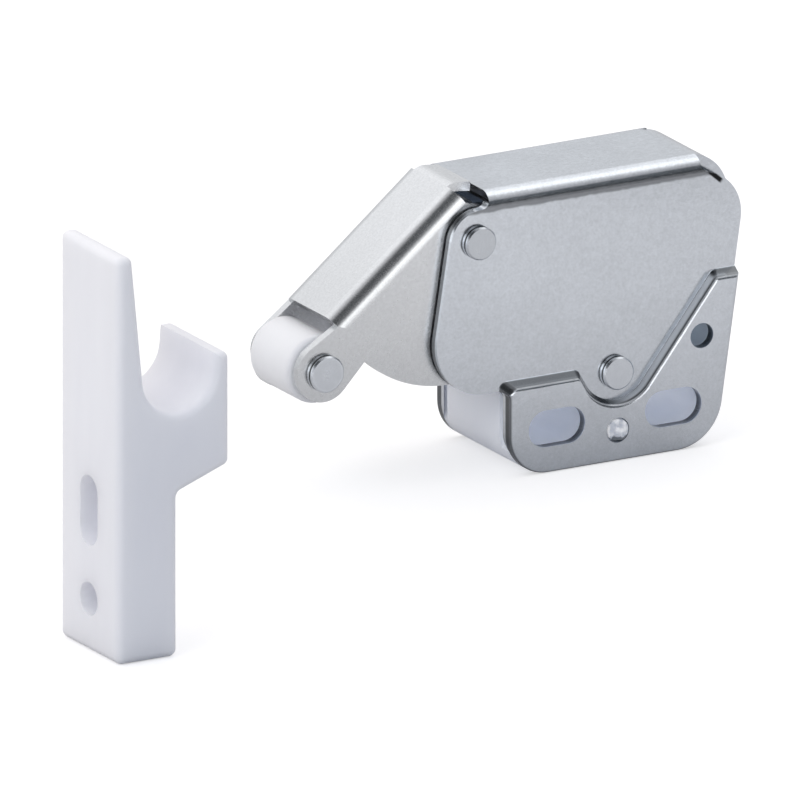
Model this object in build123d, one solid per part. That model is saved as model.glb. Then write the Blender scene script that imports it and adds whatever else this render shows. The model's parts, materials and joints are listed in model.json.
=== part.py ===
from build123d import *
import os
from math import cos, radians, sin, tan

# Touch latch with its keeper, in millimetres, +Z up.
# The latch lies in planes of constant Y: X runs from the roller to the rear, and Y = 0 is its middle plane.
# Outlines are drawn about the arm pivot, and the finished pieces move so that the origin is midway
# between the two mounting slots.

# Mounting datum
slot_spacing = 16.9
slot_length = 8.2
slot_width = 4.86
lock_hole_diameter = 3.3
lock_hole_right = 12.6
lock_hole_up = 8.85
pivot_left = 19.0
pivot_up = 25.7

# Folded sheet housing
sheet = 1.3
housing_inner_width = 13.6
strap_top = 6.17
strap_left = 1.75
strap_straight_end = 31.4
strap_bend_radius = 2.0
bend_overrun = 1.1
bend_end_radius = 1.2
curl_radius = 6.0
curl_drop = 8.6
curl_side_gap = 0.7
plate_corner_left = -3.3
plate_foot_left = -7.2
lobe_bottom = -20.27
plate_right_top = 39.17
plate_right_foot = 33.84
plate_bottom = -31.6
pivot_corner_radius = 4.4
lobe_radius = 7.0
pad_neck_radius = 1.0
pad_left = 3.9
pad_left_radius = 5.4
pad_right_radius = 6.5
rear_corner_radius = 6.0
pad_step = 1.6
ramp_run = 0.85
rising_ramp_run = 0.25
ramp_wall_shift = 0.6
ramp_edge_radius = 0.5
joggle_left_top = -19.05
joggle_right_top = -8.8
joggle_elbow = 14.4
joggle_dip_x = 19.25
joggle_dip_z = -27.7
joggle_rise_x = 34.05
joggle_dip_radius = 4.8
joggle_elbow_radius = 1.3
joggle_left_inset = 1.0
peg_hole_diameter = 3.3
peg_down = 1.8
peg_right = 0.4

# Pins
pin_diameter = 3.4
pin_head_diameter = 4.35
pin_head_height = 1.0
pin_head_chamfer = 0.2
rivet_hole_clearance = 0.02
catch_pin_right = 19.97
catch_pin_down = 20.28
roller_pin_diameter = 3.2
roller_pin_head_diameter = 4.8
running_clearance = 0.05

# Swinging arm
arm_sheet = 1.2
arm_side_clearance = 0.3
arm_slope = 39.2
arm_bend_radius = 2.3
web_height = 6.65
web_end = 20.5
web_fold = 3.11
web_fold_angle = 45.5
web_fold_radius = 2.5
web_tab_length = 2.9
roller_reach = 25.73
roller_height = 2.35
ear_radius = 3.9
far_ear_radius = 3.4
far_ear_lobe_radius = 3.3
far_ear_drop = 1.7
neck_bottom = -0.92
belly_radius = 17.5
belly_centre_reach = 3.38
belly_centre_height = 1.08
flange_corner = (-0.7, -16.2)
flange_throat = (4.17, -1.38)
flange_shoulder = (4.3, 0.9)
neck_rise = 1.2
neck_top_run = 0.7
neck_foot_run = 0.33
web_bend_end = 2.4
far_ear_forward = 0.3
arm_hub_radius = 4.4
arm_swing = 48.0

# Roller
roller_diameter = 9.0
roller_side_clearance = 0.3
roller_edge_radius = 0.7

# Heart cam carried inside the arm, and the catch lever that follows it
follower_diameter = 2.0
follower_length = 6.4
track_clearance = 0.25
track_outer_radius = 16.3
track_start_angle = 268.0
lever_swing = 19.0
latched_swing = 40.0
cam_side_clearance = 0.05
cam_slot_half_width = 1.9
cam_track_depth = 1.5
cam_slot_radius = 8.0
cam_top = 3.0
cam_shoulder = 4.0
cam_bottom_right = -3.0
cam_end = 18.6
cam_right = 3.9
cam_radius = 17.2
cam_hub_radius = 4.2
cam_coil_room = 4.7
cam_hub_half_width = 1.5
lever_half_thickness = 1.25
lever_hub_radius = 3.4
lever_tip_radius = 1.8

# Springs, sleeve and washer
sleeve_diameter = 5.2
sleeve_end_clearance = 0.1
sleeve_clearance = 0.1
arm_wire = 1.0
arm_coil_radius = 3.55
coil_end_clearance = 0.1
arm_coil_pitch = 1.067
arm_coil_sweep = 759.0
arm_outer_leg = 14.0
arm_inner_leg = 12.0
arm_bridge_radius = 1.2
catch_wire = 0.6
catch_coil_radius = 2.6
catch_coil_outer = 2.85
catch_coil_pitch = 0.66
catch_coil_sweep = 540.0
catch_leg = 4.0
washer_diameter = 6.0
washer_inner_face = 1.35
washer_outer_face = 3.15

# Nylon spacer block
block_side_clearance = 0.05
block_edge_clearance = 0.05
block_arm_radius = 21.3
block_recess_half_width = 3.4
block_hub_room = 3.9
block_boss_radius = 3.9
peg_diameter = 2.9
peg_proud = 0.1
peg_flat = 0.85
peg_flat_fall = 0.8

# Keeper
keeper_left = -97.2
keeper_front = -53.9
keeper_base = -5.9
keeper_width = 15.0
keeper_height = 53.9
keeper_foot_depth = 8.75
keeper_hook_depth = 16.3
keeper_top_depth = 2.25
trough_centre_z = 37.3
trough_radius = 5.1
lip_thickness = 2.05
lip_draft = 0.15
lip_top = 39.3
lip_radius = 1.0
hook_underside_inner = 21.6
hook_underside_outer = 24.4
keeper_top_radius = 1.0
keeper_corner_radius = 1.0
keeper_edge_radius = 1.0
keeper_slot_width = 4.4
keeper_slot_length = 9.25
keeper_slot_z = 18.7
keeper_hole_diameter = 4.4
keeper_hole_z = 7.0

# Worked-out sizes
inner_half = housing_inner_width / 2
outer_half = inner_half + sheet
pad_outer = outer_half + pad_step
pad_inner = pad_outer - sheet
arm_half = inner_half - arm_side_clearance
arm_width = 2 * arm_half
lip_inner_top = keeper_hook_depth - lip_thickness
trough_centre_x = lip_inner_top - lip_draft - trough_radius
arm_inner = arm_half - arm_sheet
web_tab_width = 2 * (arm_half - arm_bend_radius)
roller_length = 2 * (arm_inner - roller_side_clearance)
cam_half_width = arm_inner - cam_side_clearance
sleeve_half_length = arm_inner - sleeve_end_clearance
arm_coil_outer = sleeve_half_length - arm_wire / 2 - coil_end_clearance
slot_z = -pivot_up
slot_xs = [pivot_left - slot_spacing / 2, pivot_left + slot_spacing / 2]
lock_hole = (pivot_left + lock_hole_right, slot_z + lock_hole_up)
peg = (pivot_left + peg_right, slot_z - peg_down)
catch_pin = (catch_pin_right, -catch_pin_down)
pin_bore = pin_diameter / 2 + running_clearance
rivet_hole = pin_diameter / 2 + rivet_hole_clearance


def point(x, z, y=0.0):
    return Vector(x, y, z)


def polar(radius, angle, centre=(0.0, 0.0)):
    """Point at an angle in degrees, counted from +X towards +Z."""
    return (centre[0] + radius * cos(radians(angle)), centre[1] + radius * sin(radians(angle)))


def turned(p, angle, centre=(0.0, 0.0)):
    """The point p turned from +X towards +Z about a centre."""
    dx, dz = p[0] - centre[0], p[1] - centre[1]
    c, s = cos(radians(angle)), sin(radians(angle))
    return (centre[0] + c * dx - s * dz, centre[1] + s * dx + c * dz)


def outline(corners):
    """Closed face in the X-Z plane from corners (x, z, radius), each rounded by its radius."""
    pieces = []
    ends = []
    count = len(corners)
    for i, (x, z, radius) in enumerate(corners):
        here = Vector(x, 0, z)
        back = Vector(corners[i - 1][0], 0, corners[i - 1][1])
        ahead = Vector(corners[(i + 1) % count][0], 0, corners[(i + 1) % count][1])
        to_back = (back - here).normalized()
        to_ahead = (ahead - here).normalized()
        if radius == 0:
            ends.append((here, here))
            continue
        half = radians(to_back.get_angle(to_ahead)) / 2
        run = radius / tan(half)
        start = here + to_back * run
        end = here + to_ahead * run
        bisector = (to_back + to_ahead).normalized()
        middle = here + bisector * (radius / sin(half) - radius)
        pieces.append(ThreePointArc(start, middle, end))
        ends.append((start, end))
    for i in range(count):
        start = ends[i - 1][1]
        end = ends[i][0]
        if (end - start).length > 1e-6:
            pieces.append(Line(start, end))
    return make_face(pieces)


def disc(centre, radius):
    """Round face in the X-Z plane."""
    return Plane(point(*centre), x_dir=(1, 0, 0), z_dir=(0, -1, 0)) * Circle(radius)


def obround(centre, length, width):
    """Slot-shaped face in the X-Z plane, long along X."""
    plane = Plane(point(*centre), x_dir=(1, 0, 0), z_dir=(0, -1, 0))
    return plane * SlotOverall(length, width)


def slab(face, low, high):
    """Extrudes a face of the X-Z plane from Y = low to Y = high."""
    return extrude(Pos(0, low, 0) * face, amount=high - low, dir=(0, 1, 0))


def rod(centre, radius, low, high):
    """Round bar along Y."""
    return slab(disc(centre, radius), low, high)


def headed_pin(centre, shank, head, low, high):
    """Riveted pin along Y: the shank runs from low to high, with a flat head beyond each end."""
    pin = rod(centre, shank / 2, low, high)
    for y0, y1 in ((low - pin_head_height, low), (high, high + pin_head_height)):
        cap = rod(centre, head / 2, y0, y1)
        outside = cap.edges().sort_by(Axis.Y)
        rim = outside[0] if y0 < 0 else outside[-1]
        pin += chamfer(rim, pin_head_chamfer)
    return pin


def meet(p, along_p, q, along_q):
    """Point where two lines of the X-Z plane cross."""
    gap = q - p
    t = (gap.X * along_q.Y - gap.Y * along_q.X) / (along_p.X * along_q.Y - along_p.Y * along_q.X)
    return p + along_p * t


def joggle_outline(shrink, rising_ease=0.0):
    """Pad area up to its ramp, moved inward by shrink, and by less along the rising side."""
    far = 60.0
    level = Vector(1, 0)
    dip = Vector(joggle_dip_x, joggle_dip_z)
    down = (dip - Vector(joggle_elbow, joggle_left_top)).normalized()
    up = (Vector(joggle_rise_x, joggle_right_top) - dip).normalized()
    on_down = dip + Vector(down.Y, -down.X) * shrink
    on_up = dip + Vector(up.Y, -up.X) * (shrink - rising_ease)
    left = pad_left - joggle_left_inset + shrink
    top_left = Vector(left, joggle_left_top - shrink)
    top_right = Vector(far, joggle_right_top - shrink)
    elbow = meet(top_left, level, on_down, down)
    rise = meet(top_right, level, on_up, up)
    low = meet(on_down, down, on_up, up)
    outer_radius = max(joggle_elbow_radius - shrink, 0.05)
    return outline([
        (left, -far, 0),
        (far, -far, 0),
        (far, top_right.Y, 0),
        (rise.X, rise.Y, outer_radius),
        (low.X, low.Y, joggle_dip_radius + shrink),
        (elbow.X, elbow.Y, outer_radius),
        (left, top_left.Y, joggle_elbow_radius),
    ])


def plate_outline():
    top = strap_top - strap_bend_radius
    return outline([
        (plate_corner_left, top, pivot_corner_radius),
        (plate_foot_left, lobe_bottom, lobe_radius),
        (pad_left, lobe_bottom, pad_neck_radius),
        (pad_left, plate_bottom, pad_left_radius),
        (plate_right_foot, plate_bottom, pad_right_radius),
        (plate_right_top, top, rear_corner_radius),
    ])


def raised_pad(base_y, shrink):
    """Frustum that steps outward (towards -Y) from base_y, narrowing by the ramp."""
    foot = Pos(0, base_y, 0) * joggle_outline(shrink)
    head = Pos(0, base_y - pad_step, 0) * joggle_outline(shrink + ramp_run, ramp_run - rising_ramp_run)
    return loft([foot, head], ruled=True)


def on_ramp(edge):
    """True for a pad edge that lies on the ramp, clear of the plate's own outline."""
    middle = edge @ 0.5
    on_top = middle.Z > joggle_left_top - ramp_run - 0.2
    on_dip = middle.X > pad_left + 1 and middle.X < joggle_rise_x + 2 and middle.Z > plate_bottom + 2
    return on_top or on_dip


def side_plate():
    """Front side plate: flat above, with the mounting pad stepped outward below."""
    shape = plate_outline()
    plate = slab(shape, -outer_half, -inner_half)
    plate += raised_pad(-outer_half, 0) & slab(shape, -pad_outer - 1, -inner_half)
    plate -= raised_pad(-inner_half, ramp_wall_shift)
    rim = plate.faces().sort_by(Axis.Y)[0].outer_wire().edges()
    inside = [e for e in rim if on_ramp(e) and e.length > 0.05]
    plate = fillet(inside, ramp_edge_radius)
    for x in slot_xs:
        plate -= slab(obround((x, slot_z), slot_length, slot_width), -pad_outer - 1, 0)
    plate -= rod(lock_hole, lock_hole_diameter / 2, -pad_outer - 1, 0)
    plate -= rod(peg, peg_hole_diameter / 2, -pad_outer - 1, 0)
    plate -= rod((0, 0), rivet_hole, -pad_outer - 1, 0)
    plate -= rod(catch_pin, rivet_hole, -pad_outer - 1, 0)
    return plate


def strap():
    """Top strap with its two long bends, and the curled rear end between the side plates."""
    drop = strap_top - strap_bend_radius
    outer = Pos(0, 0, drop - 10) * Box(1, 2 * outer_half, 20 + 2 * strap_bend_radius)
    section_outer = fillet(outer.edges().filter_by(Axis.X).group_by(Axis.Z)[-1], strap_bend_radius)
    inner = Pos(0, 0, drop - 10) * Box(2, 2 * inner_half, 20 + 2 * (strap_bend_radius - sheet))
    inner_radius = strap_bend_radius - sheet
    section_inner = fillet(inner.edges().filter_by(Axis.X).group_by(Axis.Z)[-1], inner_radius)
    ring = (section_outer - section_inner) & Pos(0, 0, drop + 5) * Box(2, 40, 10)
    profile = ring.faces().sort_by(Axis.X)[-1]
    start = strap_left - bend_end_radius
    length = strap_straight_end + bend_overrun + bend_end_radius - start
    body = extrude(Pos(start - profile.center().X, 0, 0) * profile, amount=length, dir=(1, 0, 0))
    above = strap_top + 1
    for end, side in ((strap_left, -1), (strap_straight_end + bend_overrun, 1)):
        beyond = end + side * 3
        clear = outline([(beyond, drop, 0), (end, drop, bend_end_radius), (end, above, 0), (beyond, above, 0)])
        body -= slab(clear, -outer_half - 1, outer_half + 1)
    half = inner_half - curl_side_gap
    relief = Pos(strap_straight_end + 5, 0, strap_top) * Box(10, 2 * (outer_half - strap_bend_radius), 6)
    body -= relief
    centre_z = strap_top - curl_radius
    rear = strap_straight_end + curl_radius
    curl = outline([
        (strap_straight_end - 1, strap_top, 0),
        (rear, strap_top, curl_radius),
        (rear, centre_z - curl_drop, 0),
        (rear - sheet, centre_z - curl_drop, 0),
        (rear - sheet, strap_top - sheet, curl_radius - sheet),
        (strap_straight_end - 1, strap_top - sheet, 0),
    ])
    return body + slab(curl, -half, half)


def housing():
    front = side_plate()
    return strap() + front + mirror(front, Plane.XZ)


def hull(*faces):
    """Smallest outline round several faces of the X-Y plane, returned in the X-Z plane."""
    edges = [edge for face in faces for edge in face.edges()]
    return Plane.XZ * make_hull(edges)


def arm_flange(far):
    """Outline of one arm flange in the arm's own frame: X towards the pivot end, Z away from the belly."""
    tangent = web_height - arm_bend_radius
    ear_at = (-roller_reach, roller_height)
    ears = [Pos(*ear_at) * Circle(far_ear_radius if far else ear_radius)]
    if far:
        lobe = turned((ear_at[0] + far_ear_forward, ear_at[1] - far_ear_drop), -arm_slope, ear_at)
        ears.append(Pos(*lobe) * Circle(far_ear_lobe_radius))
    neck_end = Polyline(
        (-web_end, tangent + neck_rise),
        (-web_end + neck_top_run, tangent),
        (-web_end - neck_foot_run, neck_bottom),
        close=True,
    )
    neck = hull(*ears, neck_end)
    belly_at = (-belly_centre_reach, belly_centre_height)
    corner = flange_corner
    away = (Vector(*corner) - Vector(*flange_throat)).normalized() * 3
    fan = outline([
        (-30, tangent, 0),
        (-30, -30, 0),
        (corner[0] + away.X, -30, 0),
        (corner[0] + away.X, corner[1] + away.Y, 0),
        (*flange_throat, 0),
        (*flange_shoulder, 0),
        (web_bend_end, tangent, 0),
    ])
    belly = disc(belly_at, belly_radius) & fan
    return neck + belly + disc((0, 0), arm_hub_radius)


def arm():
    """Inverted channel: web on top, bends along both sides, two flanges with ears and a round belly."""
    tangent = web_height - arm_bend_radius
    block = Pos(0, 0, tangent - 10) * Box(1, arm_width, 20 + 2 * arm_bend_radius)
    solid = fillet(block.edges().filter_by(Axis.X).group_by(Axis.Z)[-1], arm_bend_radius)
    core_block = Pos(0, 0, tangent - 10) * Box(2, 2 * arm_inner, 20 + 2 * (arm_bend_radius - arm_sheet))
    core = fillet(core_block.edges().filter_by(Axis.X).group_by(Axis.Z)[-1], arm_bend_radius - arm_sheet)
    ring = (solid - core) & Pos(0, 0, tangent + 5) * Box(2, 40, 10)
    profile = ring.faces().sort_by(Axis.X)[-1]
    start = Pos(-web_end - profile.center().X, 0, 0) * profile
    body = extrude(start, amount=web_end + web_bend_end, dir=(1, 0, 0))
    body += slab(arm_flange(False), -arm_half, -arm_inner)
    body += slab(arm_flange(True), arm_inner, arm_half)
    fold = (web_fold, web_height)
    tip = turned((web_fold + web_tab_length, web_height), -web_fold_angle, fold)
    under = turned((web_fold + web_tab_length, web_height - arm_sheet), -web_fold_angle, fold)
    inside = (web_fold - arm_sheet * tan(radians(web_fold_angle / 2)), web_height - arm_sheet)
    tab = outline([
        (-1, web_height, 0),
        (fold[0], fold[1], web_fold_radius),
        (tip[0], tip[1], 0),
        (under[0], under[1], 0),
        (inside[0], inside[1], web_fold_radius - arm_sheet),
        (-1, web_height - arm_sheet, 0),
    ])
    body += slab(tab, -web_tab_width / 2, web_tab_width / 2)
    body -= rod((0, 0), pin_bore, -arm_width, arm_width)
    body -= rod((-roller_reach, roller_height), roller_pin_diameter / 2 + rivet_hole_clearance, -arm_width, arm_width)
    return Rot(0, -arm_slope, 0) * body


def on_arm(s, v):
    """Point in the X-Z plane from the arm's own frame."""
    return turned((s, v), arm_slope)


roller_axis = on_arm(-roller_reach, roller_height)
follower_start = polar(track_outer_radius, track_start_angle)
follower_end = turned(follower_start, -lever_swing, catch_pin)
follower_mid = turned(follower_start, -lever_swing / 2, catch_pin)


def track_loop():
    """Closed path of the follower seen from the arm: out along one branch and back along the other."""
    a0 = follower_start
    b0 = follower_end
    a1 = turned(a0, -arm_swing)
    b1 = turned(b0, -arm_swing)
    return make_face([
        ThreePointArc(point(*a0), point(*turned(a0, -arm_swing / 2)), point(*a1)),
        ThreePointArc(point(*a1), point(*turned(follower_mid, -arm_swing)), point(*b1)),
        ThreePointArc(point(*b1), point(*turned(b0, -arm_swing / 2)), point(*b0)),
        ThreePointArc(point(*b0), point(*follower_mid), point(*a0)),
    ])


def heart_cam():
    """Nylon insert between the arm's flanges, with the same heart track in both cheeks."""
    groove = follower_diameter / 2 + track_clearance
    loop = track_loop()
    shape = outline([
        (cam_right, cam_bottom_right, 0),
        (0, 0, 0),
        (*on_arm(-cam_shoulder, cam_top), 0),
        (*on_arm(-cam_end, cam_top), 0),
        (*on_arm(-cam_end, -30), 0),
        (cam_right, -30, 0),
    ])
    shape = shape & disc(on_arm(-belly_centre_reach, belly_centre_height), cam_radius)
    cam = slab(shape, -cam_half_width, cam_half_width)
    for low, high in ((-outer_half, -cam_hub_half_width), (cam_hub_half_width, outer_half)):
        cam -= rod((0, 0), cam_coil_room, low, high)
    cam += rod((0, 0), cam_hub_radius, -cam_hub_half_width, cam_hub_half_width)
    cam -= rod((0, 0), sleeve_diameter / 2 + sleeve_clearance, -10, 10)
    slot = disc((0, 0), 40) - disc((0, 0), cam_slot_radius)
    cam -= slab(slot, -cam_slot_half_width, cam_slot_half_width)
    island = offset(loop, -groove) - disc(turned(follower_mid, -latched_swing), follower_diameter / 2 + 0.2)
    track = offset(loop, groove) - island
    depth = cam_slot_half_width + cam_track_depth
    for low, high in ((-depth, -cam_slot_half_width + 0.1), (cam_slot_half_width - 0.1, depth)):
        cam -= slab(track, low, high)
    return cam


def catch_lever():
    """Lever on the lower pin, reaching over the block to the follower under the belly."""
    shape = hull(Pos(*catch_pin) * Circle(lever_hub_radius), Pos(*follower_start) * Circle(lever_tip_radius))
    lever = slab(shape, -lever_half_thickness, lever_half_thickness)
    lever -= rod(catch_pin, pin_bore, -5, 5)
    lever -= rod(follower_start, follower_diameter / 2, -5, 5)
    return lever


def spacer_block():
    """Nylon block that fills the stepped pads, with both slots, the third hole and a peg at each side."""
    wide = pad_inner - block_side_clearance
    narrow = inner_half - block_side_clearance * 2
    pad = joggle_outline(ramp_wall_shift + ramp_run + block_edge_clearance, ramp_run - rising_ramp_run)
    pad = pad & plate_outline()
    waist = joggle_outline(0.2) & plate_outline()
    room = disc((0, 0), block_arm_radius)
    block = slab(pad - room, -wide, wide)
    block += slab(waist - room, -narrow, narrow)
    stem = hull(Pos(*catch_pin) * Circle(block_boss_radius), Pos(catch_pin[0], slot_z) * Circle(block_boss_radius))
    block += slab(stem, -narrow, narrow)
    lever_room = hull(
        Pos(*catch_pin) * Circle(block_hub_room),
        Pos(*follower_start) * Circle(block_hub_room - 1.2),
        Pos(*turned(follower_start, -40, catch_pin)) * Circle(block_hub_room),
    )
    block -= slab(lever_room, -block_recess_half_width, block_recess_half_width)
    for x in slot_xs:
        block -= slab(obround((x, slot_z), slot_length, slot_width), -wide - 1, wide + 1)
    block -= rod(lock_hole, lock_hole_diameter / 2, -wide - 1, wide + 1)
    block -= rod(catch_pin, rivet_hole, -wide - 1, wide + 1)
    peg_round = disc(peg, peg_diameter / 2)
    flat = outline([
        (peg[0] - 5, peg[1] - peg_flat, 0),
        (peg[0] + 5, peg[1] - peg_flat - peg_flat_fall, 0),
        (peg[0] + 5, peg[1] + 5, 0),
        (peg[0] - 5, peg[1] + 5, 0),
    ])
    block += slab(peg_round & flat, -pad_outer - peg_proud, pad_outer + peg_proud)
    return block


def arm_spring():
    """Double torsion spring: two coils on the sleeve, two legs under the strap and a bridge under the web."""
    height = arm_coil_pitch * arm_coil_sweep / 360
    turns = Helix(pitch=arm_coil_pitch, height=height, radius=arm_coil_radius, lefthand=True)
    lead = Line(turns @ 0 - turns % 0 * arm_outer_leg, turns @ 0)
    corner = turns @ 1 + turns % 1 * arm_inner_leg
    middle = Vector(corner.X, corner.Y, arm_coil_outer)
    bridge_radius = min(arm_bridge_radius, 0.6 * (arm_coil_outer - height))
    tail = FilletPolyline(turns @ 1, corner, middle, radius=bridge_radius)
    path = Wire([lead.edge(), turns.edge(), *tail.edges()])
    wire = sweep(Plane(path @ 0, z_dir=path % 0) * Circle(arm_wire / 2), path=path)
    half = Pos(0, -arm_coil_outer, 0) * Rot(0, -90, 0) * Rot(-90, 0, 0) * wire
    return half + mirror(half, Plane.XZ)


def catch_spring():
    """Light torsion spring on the lower pin, with a straight leg leaving each end of its coil."""
    height = catch_coil_pitch * catch_coil_sweep / 360
    turns = Helix(pitch=catch_coil_pitch, height=height, radius=catch_coil_radius, lefthand=True)
    lead = Line(turns @ 0 - turns % 0 * catch_leg, turns @ 0)
    tail = Line(turns @ 1, turns @ 1 + turns % 1 * catch_leg)
    path = Wire([lead.edge(), turns.edge(), tail.edge()])
    wire = sweep(Plane(path @ 0, z_dir=path % 0) * Circle(catch_wire / 2), path=path)
    return Pos(catch_pin[0], -catch_coil_outer, catch_pin[1]) * Rot(0, -270, 0) * Rot(-90, 0, 0) * wire


def keeper():
    """Moulded keeper: wedge-fronted post, open trough for the roller, and a foot with a slot and a hole."""
    left = (trough_centre_x - trough_radius, trough_centre_z)
    low = (trough_centre_x, trough_centre_z - trough_radius)
    right = (trough_centre_x + trough_radius, trough_centre_z)
    profile = make_face([
        Polyline(
            right,
            (lip_inner_top, lip_top),
            (keeper_hook_depth, lip_top),
            (keeper_hook_depth, hook_underside_outer),
            (keeper_foot_depth, hook_underside_inner),
            (keeper_foot_depth, 0),
            (0, 0),
            (0, keeper_height),
            (keeper_top_depth, keeper_height),
            left,
        ),
        ThreePointArc(left, low, right),
    ])
    corners = {
        (keeper_hook_depth, lip_top): lip_radius,
        (0, keeper_height): keeper_top_radius,
        (keeper_top_depth, keeper_height): keeper_top_radius,
        (keeper_hook_depth, hook_underside_outer): keeper_corner_radius,
        (keeper_foot_depth, hook_underside_inner): keeper_corner_radius,
        (keeper_foot_depth, 0): keeper_corner_radius,
        (0, 0): keeper_corner_radius,
    }
    for (x, z), radius in corners.items():
        corner = profile.vertices().sort_by_distance((x, z, 0))[0]
        profile = fillet(corner, radius)
    body = extrude(Plane.XZ * profile, amount=keeper_width / 2, both=True)
    sides = body.faces().filter_by(Axis.Y)
    body = fillet(sides.edges(), keeper_edge_radius)
    body = Pos(keeper_left, keeper_front + keeper_width / 2, keeper_base) * body
    plane = Plane((keeper_left - 1, keeper_front + keeper_width / 2, keeper_base), x_dir=(0, 0, 1), z_dir=(1, 0, 0))
    body -= extrude(plane * Pos(keeper_slot_z, 0) * SlotOverall(keeper_slot_length, keeper_slot_width), amount=60)
    body -= extrude(plane * Pos(keeper_hole_z, 0) * Circle(keeper_hole_diameter / 2), amount=60)
    return body


def write(name, shape, place=True):
    moved = Pos(-pivot_left, 0, pivot_up) * shape if place else shape
    solids = moved.solids()
    result = solids[0] if len(solids) == 1 else Compound(children=solids)
    result.label = name
    export_step(result, f"parts/{name}.step")
    print(name, len(solids), round(result.volume, 2), result.is_valid)


os.makedirs("parts", exist_ok=True)
write("housing", housing())
write("arm", arm())
write("arm_pivot_pin", headed_pin((0, 0), pin_diameter, pin_head_diameter, -outer_half, outer_half))
write("catch_pin", headed_pin(catch_pin, pin_diameter, pin_head_diameter, -outer_half, outer_half))
write("roller_pin", headed_pin(roller_axis, roller_pin_diameter, roller_pin_head_diameter, -arm_half, arm_half))
tube = rod(roller_axis, roller_diameter / 2, -roller_length / 2, roller_length / 2)
rims = [e for e in tube.edges() if e.geom_type == GeomType.CIRCLE]
roller = fillet(rims, roller_edge_radius)
roller -= rod(roller_axis, roller_pin_diameter / 2 + running_clearance, -roller_length, roller_length)
write("roller", roller)
write("heart_cam", heart_cam())
write("catch_lever", catch_lever())
write("follower_pin", rod(follower_start, follower_diameter / 2, -follower_length / 2, follower_length / 2))
sleeve = rod((0, 0), sleeve_diameter / 2, -sleeve_half_length, sleeve_half_length)
write("spring_sleeve", sleeve - rod((0, 0), pin_bore, -10, 10))
write("arm_spring", arm_spring())
write("catch_spring", catch_spring())
washer = rod(catch_pin, washer_diameter / 2, washer_inner_face, washer_outer_face)
write("catch_washer", washer - rod(catch_pin, pin_bore, -10, 10))
write("spacer_block", spacer_block())
write("keeper", keeper(), place=False)
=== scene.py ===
import json
from math import cos, pi, radians, sin

import bpy
from mathutils import Matrix, Vector


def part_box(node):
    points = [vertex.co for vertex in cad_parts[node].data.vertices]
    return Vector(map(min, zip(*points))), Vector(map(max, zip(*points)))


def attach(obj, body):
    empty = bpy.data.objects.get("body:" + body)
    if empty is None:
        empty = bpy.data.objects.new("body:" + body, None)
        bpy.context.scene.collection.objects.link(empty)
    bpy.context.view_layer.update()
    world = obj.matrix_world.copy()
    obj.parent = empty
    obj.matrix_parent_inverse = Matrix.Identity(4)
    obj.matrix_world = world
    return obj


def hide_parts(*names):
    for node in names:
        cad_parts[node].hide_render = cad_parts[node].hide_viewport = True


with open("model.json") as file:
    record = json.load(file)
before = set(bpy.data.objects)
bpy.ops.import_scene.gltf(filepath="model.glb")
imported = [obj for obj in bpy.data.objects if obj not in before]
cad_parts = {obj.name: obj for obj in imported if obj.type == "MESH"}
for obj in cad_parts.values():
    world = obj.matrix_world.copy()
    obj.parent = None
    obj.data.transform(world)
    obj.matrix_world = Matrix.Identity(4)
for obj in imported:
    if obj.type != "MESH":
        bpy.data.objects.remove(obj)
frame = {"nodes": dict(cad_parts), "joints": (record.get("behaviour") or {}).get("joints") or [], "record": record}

bl_info = {
    "name": "Touch latch and keeper",
    "version": (1, 0, 0),
    "blender": (4, 5, 0),
    "location": "View3D > Sidebar > Latch",
    "description": "Finishes a sheet-metal touch latch and its moulded keeper, and sets up the studio",
    "category": "Object",
}

MM = 0.001
BLACK = (0.0, 0.0, 0.0, 1.0)

# Places that come from the frame, in millimetres
AXES = {joint["name"]: Vector(joint["pos_m"]) / MM for joint in frame["joints"]}
MOUNTS = {mount["name"]: Vector(mount["pos_m"]) / MM for mount in frame["record"]["mounts"]}
PIVOT = AXES["arm_swing"]
BORE = MOUNTS["side_hole"]
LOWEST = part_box("housing")[0].z / MM

# Zones of the housing, in millimetres, each with a soft start and end, where shade is painted into the
# sheet's colour. Cuts, the step's wall and crease, and depths are counted from the mid-plane to both
# sides.
INNER_CUT = (6.72, 6.8, 7.45, 7.65)
OUTER_CUT = (8.3, 8.4, 9.0, 9.25)
STEP_WALL = (8.12, 8.3, 9.45, 9.66)
STEP_CREASE = (9.0, 9.4, 9.46, 9.56)
STRAP_BEND_FOOT = (29.2, 29.8)
CLIMB_START = (3.05, 3.2)
CLIMB_ANGLE = radians(50.7)
CLIMB_RUN = (-2.0, 3.2)
CLIMB_TOP = (15.8, 16.6)
CLIMB_WIDTH = (1.7, 2.2)
BEND_SHADE_FOOT = (29.2, 29.6)
BEND_SHADE_TOP = (30.2, 30.6)
BEND_SHADE_DEPTH = (7.6, 7.8)
BEND_SHADE_RAGGED = 0.5
NOTCH = (14.6, 29.9)
NOTCH_FALL = radians(41.35)
NOTCH_LENGTH = (-0.15, 0.2, 2.1, 2.6)
NOTCH_HALF_WIDTH = (0.2, 0.42)
NOTCH_DEPTH = (7.2, 7.5)

# How much a face looks to the side, from 0 to 1, where the painted shade of cut edges and steps ends
# and the painted shade below the strap's bend starts
CUT_FACING = (0.35, 0.6)
STEP_FACING = (0.8, 0.95)
BEND_SHADE_FACING = (0.6, 0.8)

# The slope of the arm's web, and where along it painted shade makes the web darker towards the roller
ARM_SLOPE = radians(39.2)
ARM_SHADE_RUN = (-20.0, 0.0)

# The pins: a riveted head's height, a ring of painted shade in place of a groove, counted from the
# head's foot, a painted highlight on its rim, and how pale each pin is
HEAD_HEIGHT = 1.0
HEAD_GROOVE_SHADE = (0.16, 0.3, 0.5, 0.66)
HEAD_HIGHLIGHT_RIM = (1.85, 2.2)
PIN_SHADES = {"arm_pivot_pin": 0.93, "catch_pin": 1.12, "roller_pin": 1.05, "follower_pin": 1.0}
PIN_JOINTS = {"arm_pivot_pin": "arm_swing", "catch_pin": "catch_swing", "roller_pin": "roller_spin"}
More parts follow.
